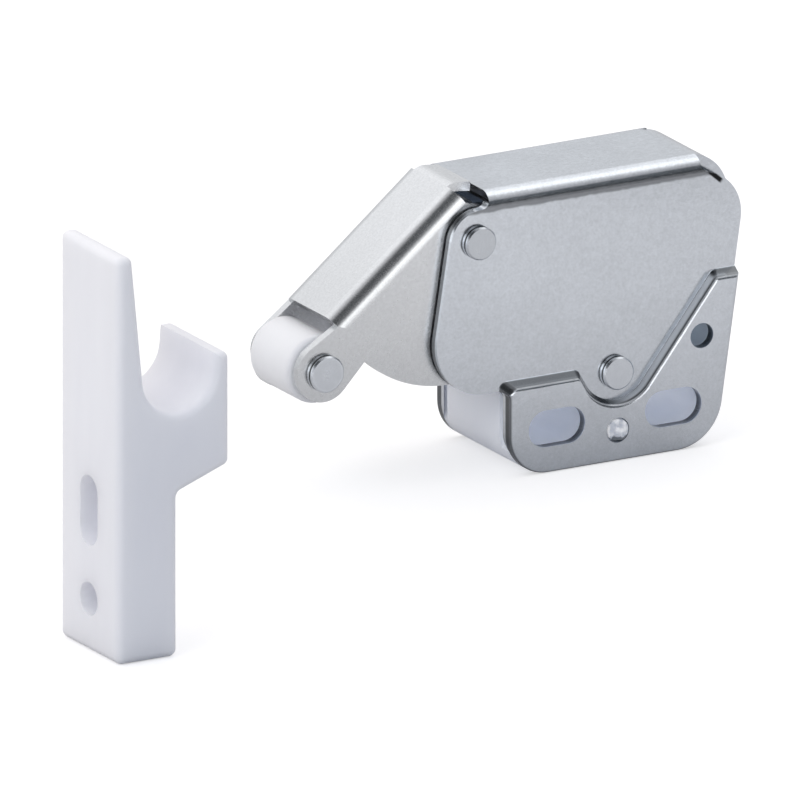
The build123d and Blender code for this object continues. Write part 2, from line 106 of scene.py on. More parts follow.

# The block: painted shade in its bore behind the round hole, and the melted pegs with painted glints and painted
# shadow
BORE_RIM = (1.7, 1.95)
BORE_SHADE_TONE = (0.64, 0.69, 0.73, 1.0)
PEG = Vector((0.4, 0.0, -1.8))
PEG_RIM = (1.6, 1.9)
PEG_FACE = (9.2, 9.4)
GLINT_FOOT = (-2.75, -2.45)
GLINT_RAGGED = 1.2
MELT_GLINT_TONE = (0.98, 0.98, 1.0, 1.0)
MELT_GLINT_GLOW = (0.3, 0.3, 0.3, 1.0)
PEG_SHADOW = (0.2, 0.22, 0.24, 1.0)
# tint of the block's painted glow
BLOCK_GLOW_TINT = (0.9, 1.0, 1.2)

# The arm spring, in millimetres and degrees
SPRING_WIRE = 1.0
COIL_RADIUS = 3.55
COIL_PITCH = 1.067
COIL_SWEEP = 759.0
COIL_OUTER = 4.6
OUTER_LEG = 14.0
INNER_LEG = 12.0
BRIDGE_RADIUS = 1.2
SHARED_SWEEP = 66.0
COIL_STEPS = 96
BRIDGE_STEPS = 12

# Edges that are sharper than this are rounded, in degrees
SHARP_ANGLE = 28.0

# The floor: its gap under the part and its zones in front, in millimetres, and its half width
FLOOR_GAP = 0.02
FLOOR_HALF = 3000.0
FLOOR_TONE = (0.58, 0.58, 0.585, 1.0)
FLOOR_DARK_TONE = (0.04, 0.04, 0.05, 1.0)
FLOOR_GLOW_FROM = (8.0, 110.0)
FLOOR_DARK_FROM = (100.0, 145.0)
FLOOR_STRIP_FROM = (130.0, 420.0)
FLOOR_ASIDE = (0.38, 0.5)

# The sky that metal reflects: each field's tone, and where it starts and is full in x, y or z of a
# direction of length 1
RIGHT_FROM = (0.2, 0.36)
FRONT_TONE = (0.62, 0.62, 0.64, 1.0)
BACK_FROM = (0.0, 0.4)
BACK_TONE = (0.86, 0.87, 0.89, 1.0)
BACK_HIGH_FROM = (0.3, 0.6)
BACK_HIGH_TONE = (1.3, 1.3, 1.32, 1.0)
OVERHEAD_FOOT = (0.6, 0.74)
OVERHEAD_HALF_DEPTH = (0.12, 0.5)
OVERHEAD_TONE = (1.75, 1.75, 1.75, 1.0)
SHADE_FROM = (0.0, 0.3)
SHADE_FOOT = (0.26, 0.44)
SHADE_END = (-0.22, -0.06)
SHADE_THINNING = 0.8
SHADE_TONE = (0.075, 0.08, 0.085, 1.0)
STRIP_FROM = (0.5, 0.8)
STRIP_HALF_HEIGHT = (0.24, 0.38)
STRIP_TONE = (2.0, 2.0, 2.0, 1.0)
GLOOM_FROM = (0.3, 0.6)
GLOOM_TOP = (0.46, 0.6)
GLOOM_TONE = (0.1, 0.11, 0.12, 1.0)

# The even light on everything else, which is dimmer in front
EVEN_TONE = (1.04, 1.01, 1.0, 1.0)
DIM_FROM = (-0.2, 0.5)
DIM_TOP = (0.55, 0.95)
DIM_TONE = (0.36, 0.42, 0.52, 1.0)

# The lamps, in metres
KEY_PLACE = (-0.7, -0.22, 0.55)
KEY_AIM = (-0.03, 0.0, 0.01)
KEY_SIZE = 0.5
RIM_PLACE = (0.5, 0.35, 0.5)
RIM_AIM = (-0.02, 0.0, 0.01)
RIM_SIZE = 0.4

# The picture's side and the arm pin's spot in it, in pixels, and that spot's depth in millimetres
PICTURE = 800.0
PIN_SPOT = (481.2, 243.8)
PIN_SPOT_DEPTH = 8.9


class Field:
    """A number on a node socket, written in ordinary arithmetic."""

    def __init__(self, graph, socket):
        self.graph = graph
        self.socket = socket

    def _math(self, operation, *others, clamp=False):
        settings = {"operation": operation, "use_clamp": clamp}
        node = self.graph.add("ShaderNodeMath", settings, dict(enumerate((self, *others))))
        return Field(self.graph, node.outputs[0])

    def __add__(self, other):
        return self._math("ADD", other)

    def __radd__(self, other):
        return self._math("ADD", other)

    def __sub__(self, other):
        return self._math("SUBTRACT", other)

    def __rsub__(self, other):
        return -self + other

    def __mul__(self, other):
        return self._math("MULTIPLY", other)

    def __rmul__(self, other):
        return self._math("MULTIPLY", other)

    def __truediv__(self, other):
        return self._math("DIVIDE", other)

    def __rtruediv__(self, other):
        return self.power(-1.0) * other

    def __neg__(self):
        return self._math("MULTIPLY", -1.0)

    def __abs__(self):
        return self._math("ABSOLUTE")

    def power(self, exponent):
        return self._math("POWER", exponent)

    def clamp(self):
        return self._math("ADD", 0.0, clamp=True)

    def smooth(self, low, high):
        """0 below low, 1 above high, with a smooth step between."""
        settings = {"interpolation_type": "SMOOTHSTEP"}
        node = self.graph.add("ShaderNodeMapRange", settings, {0: self, 1: low, 2: high})
        return Field(self.graph, node.outputs[0])

    def band(self, rise, full, fade, gone):
        """1 from full to fade, with a smooth step up from rise and down to gone."""
        return self.smooth(rise, full) * (1.0 - self.smooth(fade, gone))


class Graph:
    """A node tree with one call to add a node and one to feed a socket."""

    def __init__(self, tree):
        self.tree = tree
        tree.nodes.clear()

    def add(self, kind, settings=None, sockets=None):
        """A node of that type: its settings first, then its sockets' values or links."""
        node = self.tree.nodes.new(kind)
        for name, value in (settings or {}).items():
            setattr(node, name, value)
        for slot, value in (sockets or {}).items():
            self.feed(node.inputs[slot], value)
        return node

    def feed(self, slot, value):
        if isinstance(value, Field):
            self.tree.links.new(value.socket, slot)
        elif isinstance(value, bpy.types.NodeSocket):
            self.tree.links.new(value, slot)
        else:
            slot.default_value = value

    def place(self):
        """Where the point lies on its own piece, in millimetres."""
        source = self.add("ShaderNodeTexCoord")
        sockets = {0: source.outputs["Object"], "Scale": 1.0 / MM}
        return self.add("ShaderNodeVectorMath", {"operation": "SCALE"}, sockets).outputs[0]

    def split(self, vector):
        node = self.add("ShaderNodeSeparateXYZ", sockets={0: vector})
        return [Field(self, out) for out in node.outputs]

    def join(self, x, y, z):
        return self.add("ShaderNodeCombineXYZ", sockets={0: x, 1: y, 2: z}).outputs[0]

    def stretched(self, vector, factors):
        sockets = {0: vector, 1: factors}
        return self.add("ShaderNodeVectorMath", {"operation": "MULTIPLY"}, sockets).outputs[0]

    def noise(self, vector, scale, detail, roughness=0.55):
        sockets = {"Vector": vector, "Scale": scale, "Detail": detail, "Roughness": roughness}
        return Field(self, self.add("ShaderNodeTexNoise", sockets=sockets).outputs[0])

    def mix(self, factor, first, second):
        sockets = {0: factor, 6: first, 7: second}
        return self.add("ShaderNodeMix", {"data_type": "RGBA"}, sockets).outputs[2]

    def layered(self, base, *layers):
        """The base colour with each further colour laid over it where that colour's mask says."""
        for mask, colour in layers:
            base = self.mix(mask, base, colour)
        return base

    def bump(self, height, distance, strength, under=None):
        """Relief that is that many millimetres deep, on top of another one if given."""
        sockets = {"Height": height, "Distance": distance * MM, "Strength": strength}
        if under is not None:
            sockets["Normal"] = under
        return self.add("ShaderNodeBump", sockets=sockets).outputs[0]

    def surface(self, **values):
        """The one shader of a material, and the output that it feeds."""
        sockets = {name.replace("_", " "): value for name, value in values.items()}
        shader = self.add("ShaderNodeBsdfPrincipled", sockets=sockets)
        self.add("ShaderNodeOutputMaterial", sockets={0: shader.outputs[0]})


def new_graph(name):
    material = bpy.data.materials.new(name)
    material.use_nodes = True
    return material, Graph(material.node_tree)


def tint(colour, factor):
    return (colour[0] * factor, colour[1] * factor, colour[2] * factor, 1.0)


def varied(middle, *patterns):
    """The middle value, moved by each pattern's distance from 0.5 at the weight beside it."""
    value = middle
    for pattern, weight in patterns:
        value = (pattern - 0.5) * weight + value
    return value


def along_line(x, z, angle):
    """Distance covered along a line that climbs to the right at that angle."""
    return x * cos(angle) + z * sin(angle)


def from_axis(x, z, axis):
    """Distance from an axis that runs across the part."""
    right = x - axis.x
    up = z - axis.z
    return (right * right + up * up).power(0.5)


def painted_shade_zones(g, place):
    """Masks of the housing's painted shade: cut edges, steps, the crease and the band below the bend, and the
    climbing step that is kept out of it.
    """
    x, y, z = g.split(place)
    depth = abs(y)
    facing = g.add("ShaderNodeNewGeometry")
    across = abs(g.split(facing.outputs["Normal"])[1])
    cut = (1.0 - across.smooth(*CUT_FACING)) * (1.0 - z.smooth(*STRAP_BEND_FOOT))
    edge = (depth.band(*INNER_CUT) + depth.band(*OUTER_CUT)) * cut
    step = depth.band(*STEP_WALL) * (1.0 - across.smooth(*STEP_FACING))
    aside = along_line(x - CLIMB_START[0], z - CLIMB_START[1], CLIMB_ANGLE - pi / 2)
    climb = step * x.smooth(*CLIMB_RUN) * (1.0 - z.smooth(*CLIMB_TOP))
    climb = climb * (1.0 - aside.smooth(*CLIMB_WIDTH))
    crease = climb * depth.band(*STEP_CREASE)
    # painted shade in a band below the strap's bend, with a ragged foot
    ragged = varied(z, (g.noise(place, 0.7, 3.0), BEND_SHADE_RAGGED))
    bend_shade = ragged.smooth(*BEND_SHADE_FOOT) * (1.0 - z.smooth(*BEND_SHADE_TOP))
    bend_shade = bend_shade * depth.smooth(*BEND_SHADE_DEPTH) * across.smooth(*BEND_SHADE_FACING)
    return edge.clamp(), step, climb.clamp(), crease.clamp(), bend_shade


def painted_notch_shadow(g, place):
    """Mask of painted shadow at the relief notch where the strap's bend ends against the curl."""
    x, y, z = g.split(place)
    right = x - NOTCH[0]
    down = NOTCH[1] - z
    along = along_line(right, down, NOTCH_FALL)
    aside = abs(along_line(right, down, NOTCH_FALL + pi / 2))
    sides = 1.0 - aside.smooth(*NOTCH_HALF_WIDTH)
    return along.band(*NOTCH_LENGTH) * sides * abs(y).smooth(*NOTCH_DEPTH)


def plated_metal(name, colour, roughness, grain, grain_scale, tarnish=0.09, with_painted_shade=False):
    """Bright plated sheet: rolled grain, clouding at three sizes and a few fine scratches; on the housing also
    painted shade on steps, cut edges, the crease, the notch and below the bend.
    """
    material, g = new_graph(name)
    place = g.place()
    cloud = g.noise(place, 0.13, 3.0)
    rolled = g.noise(g.stretched(place, grain), grain_scale, 4.0, 0.6)
    blotch = g.noise(place, 1.1, 2.0)
    speckle = g.noise(place, 3.0, 2.0)
    pits = g.noise(place, 3.1, 3.0).smooth(0.68, 0.78)
    scratch = g.noise(g.stretched(place, (0.25, 1.0, 2.6)), 1.7, 5.0, 0.7).smooth(0.64, 0.72)
    shade = varied(0.5, (cloud, 1.3), (rolled, 0.7), (blotch, 1.1), (speckle, 2.0)).clamp()
    tone = g.mix(shade, tint(colour, 1.0 - tarnish), tint(colour, 1.0 + tarnish * 0.5))
    tone = g.mix(pits * 0.25, tone, tint(colour, 0.72))
    rough = varied(roughness, (rolled, 0.16), (cloud, 0.1)) + scratch * 0.06
    metal = 1.0
    if with_painted_shade:
        edge, step, climb, crease, bend_shade = painted_shade_zones(g, place)
        tone = g.layered(
            tone,
            # painted shade on the step's wall, except where it climbs
            (step * (1.0 - climb) * 0.95, tint(colour, 0.27)),
            # painted shade, a dark band below the strap's bend
            (bend_shade * 0.85, tint(colour, 0.3)),
            # painted shade on the cut edges, which widens the dark gap between the parts
            (edge * 0.85, tint(colour, 0.16)),
            # painted shadow in the relief notch
            (painted_notch_shadow(g, place), tint(colour, 0.03)),
            # the climbing part of the step, kept out of the painted shade and a little darker than the sheet
            (climb, tint(colour, 0.86)),
            # painted shade, a dark line in the step's crease
            (crease * 0.9, tint(colour, 0.06)),
        )
        rough = rough + climb * 0.42
        metal = 1.0 - climb * 0.6
    relief = g.bump(rolled, 0.012, 0.35)
    relief = g.bump(g.noise(place, 0.55, 1.0), 0.04, 0.35, under=relief)
    g.surface(Base_Color=tone, Metallic=metal, Roughness=rough.clamp(), Normal=relief)
    return material


def brushed_arm(name, colour, roughness):
    """Arm sheet: fine streaks across and along the web, speckled, and painted shade near the roller."""
    material, g = new_graph(name)
    place = g.place()
    x, y, z = g.split(place)
    along = along_line(x, z, ARM_SLOPE)
    out = along_line(x, z, ARM_SLOPE + pi / 2)
    streaks = g.noise(g.join(along * 9.0, y * 0.45, out * 2.0), 1.0, 5.0, 0.65)
    cross = g.noise(g.join(along * 0.8, y * 7.0, out * 2.0), 1.0, 4.0, 0.6)
    cloud = g.noise(place, 0.22, 2.0)
    speckle = g.noise(place, 3.0, 2.0)
    shade = varied(0.5, (streaks, 0.9), (cross, 0.6), (cloud, 0.6), (speckle, 2.2)).clamp()
    low_shade = 1.0 - along.smooth(*ARM_SHADE_RUN)
    tone = g.mix(shade, tint(colour, 0.93), tint(colour, 1.03))
    # painted shade, darker towards the roller
    tone = g.mix(low_shade * 0.12, tone, tint(colour, 0.3))
    rough = varied(roughness, (streaks, 0.1), (cross, 0.06)).clamp()
    g.surface(Base_Color=tone, Metallic=1.0, Roughness=rough, Normal=g.bump(streaks, 0.01, 0.3))
    return material


def turned_pin(name, colour, axis, face, roughness):
    """Pin steel: faint rings about the pin's own axis, a ring of painted shade in place of a groove, a painted
    highlight on the rim and a slightly pitted end.
    """
    material, g = new_graph(name)
    place = g.place()
    x, y, z = g.split(place)
    reach = from_axis(x, z, axis)
    rings = g.noise(g.join(reach * 6.0, y * 5.0, 0.0), 1.0, 4.0, 0.6)
    cloud = g.noise(place, 0.9, 3.0)
    proud = abs(y) - (face - HEAD_HEIGHT)
    shade = varied(0.5, (rings, 0.8), (cloud, 0.6)).clamp()
    tone = g.layered(
        g.mix(shade, tint(colour, 0.86), tint(colour, 1.05)),
        # painted highlight on the head's rim
        (reach.smooth(*HEAD_HIGHLIGHT_RIM) * 0.35, tint(colour, 1.15)),
        # painted shade, a dark ring round the head's foot in place of a groove
        (proud.band(*HEAD_GROOVE_SHADE) * 0.97, tint(colour, 0.04)),
    )
    rough = varied(roughness, (rings, 0.14), (cloud, 0.12)).clamp()
    relief = g.bump(cloud, 0.05, 0.4, under=g.bump(rings, 0.01, 0.3))
    g.surface(Base_Color=tone, Metallic=1.0, Roughness=rough, Normal=relief)
    return material


def moulded_nylon(name, colour, roughness, block_painted_glow=None):
    """White nylon: spark-eroded skin, faint flow marks, a soft sheen and some light let through; the block also
    gets a painted glow, painted shade in its bore and painted glints and shadow on its pegs.
    """
    material, g = new_graph(name)
    place = g.place()
    skin = g.noise(place, 5.0, 4.0, 0.6)
    flow = g.noise(g.stretched(place, (0.5, 0.7, 0.12)), 0.6, 3.0)
    specks = g.noise(place, 1.9, 2.0).smooth(0.7, 0.8)
    shade = varied(0.5, (flow, 0.9), (skin, 0.35)).clamp()
    tone = g.mix(shade, tint(colour, 0.965), tint(colour, 1.02))
    tone = g.mix(specks * 0.1, tone, tint(colour, 0.9))
    rough = varied(roughness, (skin, 0.18), (flow, 0.1))
    glow = BLACK
    if block_painted_glow is not None:
        bore_shade, melt_glint, shadow = block_zones(g, place)
        # painted shade in the bore, painted glints on the pegs' melted ends and painted shadow below them
        tone = g.layered(tone, (bore_shade, BORE_SHADE_TONE), (melt_glint, MELT_GLINT_TONE), (shadow, PEG_SHADOW))
        unlit = (bore_shade * 0.45 + shadow).clamp()
        # the block's emission is a painted glow that brightens it, none in the painted shade and more on the
        # painted glints
        glow = g.layered(tint(BLOCK_GLOW_TINT, block_painted_glow), (unlit, BLACK), (melt_glint, MELT_GLINT_GLOW))
        rough = rough - (melt_glint + shadow).clamp() * 0.25
    relief = g.bump(skin, 0.02, 0.3, under=g.bump(flow, 0.1, 0.25))
    g.surface(
        Base_Color=tone,
        Roughness=rough.clamp(),
        Normal=relief,
        Coat_Weight=0.06,
        Coat_Roughness=0.35,
        Emission_Color=glow,
        Emission_Strength=1.0,
        Subsurface_Weight=0.6,
        Subsurface_Radius=(1.0, 1.0, 1.0),
        Subsurface_Scale=6.0 * MM,
    )
    return material


def block_zones(g, place):
    """Masks of the block's painted light and shade: the bore behind the round hole, and the pegs' melted ends with
    glints above and shadow below.
    """
    x, y, z = g.split(place)
    # painted shade in the bore behind the round hole
    bore_shade = 1.0 - from_axis(x, z, BORE).smooth(*BORE_RIM)
    peg = abs(y).smooth(*PEG_FACE) * (1.0 - from_axis(x, z, PEG).smooth(*PEG_RIM))
    blobs = g.noise(place, 0.9, 2.0).smooth(0.44, 0.56)
    # the upper part of each peg's end gets painted glints and glow, the lower part painted shadow
    upper = varied(z, (g.noise(place, 1.4, 2.0), GLINT_RAGGED)).smooth(*GLINT_FOOT)
    return bore_shade, (peg * upper * blobs).clamp(), (peg * (1.0 - upper)).clamp()


def drawn_wire(name, colour, roughness):
    """Spring wire: streaks along the draw and a slightly oily tone."""
    material, g = new_graph(name)
    place = g.place()
    streaks = g.noise(g.stretched(place, (1.2, 6.0, 1.2)), 1.4, 4.0)
    cloud = g.noise(place, 0.7, 2.0)
    shade = varied(0.5, (streaks, 1.2), (cloud, 0.8)).clamp()
    tone = g.mix(shade, tint(colour, 0.8), tint(colour, 1.08))
    rough = varied(roughness, (streaks, 0.2)).clamp()
    g.surface(Base_Color=tone, Metallic=1.0, Roughness=rough, Normal=g.bump(streaks, 0.01, 0.4))
    return material


def soften(piece, width, segments):
    """Rounds the piece's sharp edges."""
    bevel = piece.modifiers.new("soft edges", "BEVEL")
    bevel.width = width
    bevel.segments = segments
    bevel.limit_method = "ANGLE"
    bevel.angle_limit = radians(SHARP_ANGLE)
    bevel.use_clamp_overlap = True
    bevel.harden_normals = False
    bevel.miter_outer = "MITER_ARC"
    weighted = piece.modifiers.new("even shading", "WEIGHTED_NORMAL")
    weighted.keep_sharp = True
    weighted.weight = 50


def finish_piece(name, material, width=0.0, segments=3):
    """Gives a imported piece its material, smooth shading and, if a width is given, rounded edges."""
    piece = frame["nodes"][name]
    piece.data.materials.clear()
    piece.data.materials.append(material)
    for face in piece.data.polygons:
        face.use_smooth = True
    if width:
        soften(piece, width, segments)


def coil_point(turn):
    """Point of the near coil's centre line after so many degrees, in millimetres from the pivot."""
    a = radians(turn)
    depth = -COIL_OUTER + COIL_PITCH * turn / 360.0
    return Vector((-COIL_RADIUS * sin(a), depth, COIL_RADIUS * cos(a)))


def coil_heading(turn):
    """Direction of the wire at that point."""
    a = radians(turn)
    rise = COIL_PITCH / (2 * pi)
    return Vector((-COIL_RADIUS * cos(a), rise, -COIL_RADIUS * sin(a))).normalized()


def mirrored(points):
    return [Vector((p.x, -p.y, p.z)) for p in points]


def coil_runs():
    """Both coils of the arm spring, each with its leg under the strap."""
    near = [coil_point(0.0) - coil_heading(0.0) * OUTER_LEG]
    near += [coil_point(COIL_SWEEP * i / COIL_STEPS) for i in range(COIL_STEPS + 1)]
    return [near, mirrored(near)]


def bridge_run():
    """The bridge and its legs under the web, with as much of each coil as the swing uncovers."""
    steps = BRIDGE_STEPS
    first = COIL_SWEEP - SHARED_SWEEP
    near = [coil_point(first + SHARED_SWEEP * i / steps) for i in range(steps + 1)]
    heading = coil_heading(COIL_SWEEP)
    corner = near[-1] + heading * INNER_LEG
    inward = Vector((0.0, 1.0, 0.0))
    for i in range(steps + 1):
        a = 0.5 * pi * i / steps
        across = inward * BRIDGE_RADIUS * (1.0 - cos(a))
        near.append(corner - heading * BRIDGE_RADIUS * (1.0 - sin(a)) + across)
    return near + mirrored(near)[::-1]


def wire_piece(name, runs, material):
    """Round spring wire along each run of points about the pivot, as one mesh."""
    curve = bpy.data.curves.new(name + "_line", "CURVE")
    curve.dimensions = "3D"
    curve.bevel_depth = SPRING_WIRE / 2 * MM
    curve.bevel_resolution = 4
    curve.use_fill_caps = True
    for run in runs:
        spline = curve.splines.new("POLY")
        spline.points.add(len(run) - 1)
        spline.use_smooth = True
        for knot, point in zip(spline.points, run):
            knot.co = (*((PIVOT + point) * MM), 1.0)
    line = bpy.data.objects.new(name + "_line", curve)
    bpy.context.scene.collection.objects.link(line)
    bpy.context.view_layer.update()
    solid = line.evaluated_get(bpy.context.evaluated_depsgraph_get())
    mesh = bpy.data.meshes.new_from_object(solid)
    bpy.data.objects.remove(line)
    mesh.name = name
    mesh.materials.clear()
    mesh.materials.append(material)
    piece = bpy.data.objects.new(name, mesh)
    bpy.context.scene.collection.objects.link(piece)
    return piece


def colour_property(name, description, value):
    return bpy.props.FloatVectorProperty(
        name=name, description=description, subtype="COLOR", size=3, default=value, min=0.0, max=1.0
    )


def number_property(name, description, value, high=10.0):
    return bpy.props.FloatProperty(
        name=name, description=description, default=value, min=0.0, max=high
    )


def length_property(name, description, value, low=0.0, high=10.0):
    """A length that is given here in millimetres and kept in metres."""
    return bpy.props.FloatProperty(
        name=name,
        description=description,
        default=value * MM,
        min=low * MM,
        max=high * MM,
        precision=5,
        unit="LENGTH",
    )


def angle_property(name, description, value):
    """An angle that is given here in degrees and kept in radians."""
    return bpy.props.FloatProperty(
        name=name,
        description=description,
        default=radians(value),
        min=0.0,
        max=pi / 2,
        subtype="ANGLE",
    )


class LatchFinish(bpy.types.PropertyGroup):
    """Colours, roughness and edge widths of the pieces"""

    plating: colour_property("Plated sheet", "Reflected colour of the housing", (0.74, 0.775, 0.82))
    arm: colour_property("Arm sheet", "Reflected colour of the arm", (0.82, 0.835, 0.85))
    pins: colour_property("Pins", "Reflected colour of the riveted pins", (0.70, 0.73, 0.77))
    lever: colour_property("Lever", "Reflected colour of the catch lever", (0.55, 0.56, 0.58))
    wire: colour_property("Spring wire", "Reflected colour of both springs", (0.42, 0.43, 0.45))
    nylon: colour_property("Nylon", "Colour of the roller, block and cam", (0.90, 0.915, 0.965))
    keeper: colour_property("Keeper nylon", "Colour of the keeper", (0.90, 0.905, 0.965))
    plating_roughness: number_property("Sheet roughness", "Roughness of the housing", 0.2, 1.0)
    arm_roughness: number_property("Arm roughness", "Roughness of the arm", 0.26, 1.0)
    pin_roughness: number_property("Pin roughness", "Roughness of the pins", 0.24, 1.0)
    lever_roughness: number_property("Lever roughness", "Roughness of the lever", 0.38, 1.0)
    wire_roughness: number_property("Wire roughness", "Roughness of the springs", 0.32, 1.0)
    nylon_roughness: number_property("Nylon roughness", "Roughness of the nylon pieces", 0.42, 1.0)
    # strength of the block's painted glow, an emission that brightens it; it is no lamp
    block_painted_glow: number_property("Block glow", "Light that comes through the block", 0.065, 1.0)
    sheet_edge: length_property("Sheet edge", "Rounded edge of the folded sheet", 0.16)
    pin_edge: length_property("Pin edge", "Rounded edge of the pins", 0.06)
    lever_edge: length_property("Lever edge", "Rounded edge of the lever", 0.15)
    roller_edge: length_property("Roller edge", "Rounded edge of the roller and the cam", 0.12)
    block_edge: length_property("Block edge", "Rounded edge of the block", 0.15)
    ring_edge: length_property("Ring edge", "Rounded edge of the sleeve and the washer", 0.1)
    keeper_edge: length_property("Keeper edge", "Rounded edge of the keeper", 0.3)


class LatchStage(bpy.types.PropertyGroup):
    """Camera angles, picture scale and light of the studio"""

    azimuth: angle_property("Camera to the left", "Turn of the camera from straight ahead", 29.5)
    elevation: angle_property("Camera above", "Tilt of the camera above level", 17.5)
    scale: number_property("Picture scale", "Pixels of the picture for a millimetre", 7.91, 100.0)
    floor_z: length_property(
        "Floor height", "Height of the floor, just under the part", LOWEST - FLOOR_GAP, -100.0, 100.0
    )
    sky: number_property("Mirrored sky", "Strength of the sky that metal reflects", 0.8)
    daylight: number_property("Even light", "Strength of the light from all sides", 1.0)
    key: number_property("Key light", "Power of the lamp at the left, in watts", 1.6, 100.0)
    rim: number_property("Rim light", "Power of the lamp at the back, in watts", 0.1, 100.0)
    floor_lift: number_property("Floor lift", "Light added to the floor that the camera sees", 0.54)
    floor_glow: number_property("Floor glow", "Light added to the floor that metal reflects", 0.22)


class LATCH_OT_housing(bpy.types.Operator):
    """Finishes the folded housing"""

    bl_idname = "latch.housing"
    bl_label = "Housing"

    def execute(self, context):
        look = context.scene.latch_finish
        roughness = look.plating_roughness
        grain = (0.35, 1.0, 1.6)
        sheet = plated_metal("plated_sheet", look.plating, roughness, grain, 3.5, with_painted_shade=True)
        finish_piece("housing", sheet, look.sheet_edge)
        return {"FINISHED"}


class LATCH_OT_arm(bpy.types.Operator):
    """Finishes the swinging arm"""

    bl_idname = "latch.arm"
    bl_label = "Arm"

    def execute(self, context):
        look = context.scene.latch_finish
        sheet = brushed_arm("arm_sheet", look.arm, look.arm_roughness)
        finish_piece("arm", sheet, look.sheet_edge)
        return {"FINISHED"}


class LATCH_OT_pins(bpy.types.Operator):
    """Finishes the riveted pins and the follower"""

    bl_idname = "latch.pins"
    bl_label = "Pins"

    def execute(self, context):
        look = context.scene.latch_finish
        for name, shade in PIN_SHADES.items():
            low, high = (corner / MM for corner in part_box(name))
            axis = AXES[PIN_JOINTS[name]] if name in PIN_JOINTS else (low + high) / 2
            colour = tint(look.pins, shade)
            steel = turned_pin(name + "_steel", colour, axis, high.y, look.pin_roughness)
            finish_piece(name, steel, look.pin_edge)
        return {"FINISHED"}


class LATCH_OT_nylon(bpy.types.Operator):
    """Finishes the roller, the block, the cam, the sleeve and the washer"""

    bl_idname = "latch.nylon"
    bl_label = "Nylon pieces"

    def execute(self, context):
        look = context.scene.latch_finish
        nylon = moulded_nylon("white_nylon", look.nylon, look.nylon_roughness)
        # the block's nylon with a painted glow
        glowing_nylon = moulded_nylon("block_nylon", look.nylon, look.nylon_roughness, look.block_painted_glow)
        pieces = {
            "roller": (nylon, look.roller_edge),
            "heart_cam": (nylon, look.roller_edge),
            "spacer_block": (glowing_nylon, look.block_edge),
            "spring_sleeve": (nylon, look.ring_edge),
            "catch_washer": (nylon, look.ring_edge),
        }
        for name, (material, width) in pieces.items():
            finish_piece(name, material, width, 2)
        return {"FINISHED"}


class LATCH_OT_springs(bpy.types.Operator):
    """Finishes the springs and the lever"""

    bl_idname = "latch.springs"
    bl_label = "Springs and lever"

    def execute(self, context):
        look = context.scene.latch_finish
        wire = drawn_wire("spring_wire", look.wire, look.wire_roughness)
        finish_piece("catch_spring", wire)
        coils = wire_piece("arm_spring_coils", coil_runs(), wire)
        bridge = wire_piece("arm_spring_bridge", [bridge_run()], wire)
        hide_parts("arm_spring")
        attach(coils, "latch_body")
        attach(bridge, "arm_body")
        grain = (1.6, 1.0, 0.4)
        lever = plated_metal("lever_steel", look.lever, look.lever_roughness, grain, 3.0, 0.12)
        finish_piece("catch_lever", lever, look.lever_edge)
        return {"FINISHED"}


class LATCH_OT_keeper(bpy.types.Operator):
    """Finishes the moulded keeper"""

    bl_idname = "latch.keeper"
    bl_label = "Keeper"

    def execute(self, context):
        look = context.scene.latch_finish
        nylon = moulded_nylon("keeper_nylon", look.keeper, look.nylon_roughness)
        finish_piece("keeper", nylon, look.keeper_edge, 4)
        return {"FINISHED"}


def softbox(name, place, aim, size, power):
    """Square lamp that points from place to aim, in metres, and that doesn't show in reflections."""
    lamp = bpy.data.lights.new(name, "AREA")
    lamp.shape = "SQUARE"
    lamp.size = size
    lamp.energy = power
    holder = bpy.data.objects.new(name, lamp)
    bpy.context.scene.collection.objects.link(holder)
    holder.location = place
    holder.rotation_euler = (Vector(aim) - Vector(place)).to_track_quat("-Z", "Y").to_euler()
    holder.visible_glossy = False


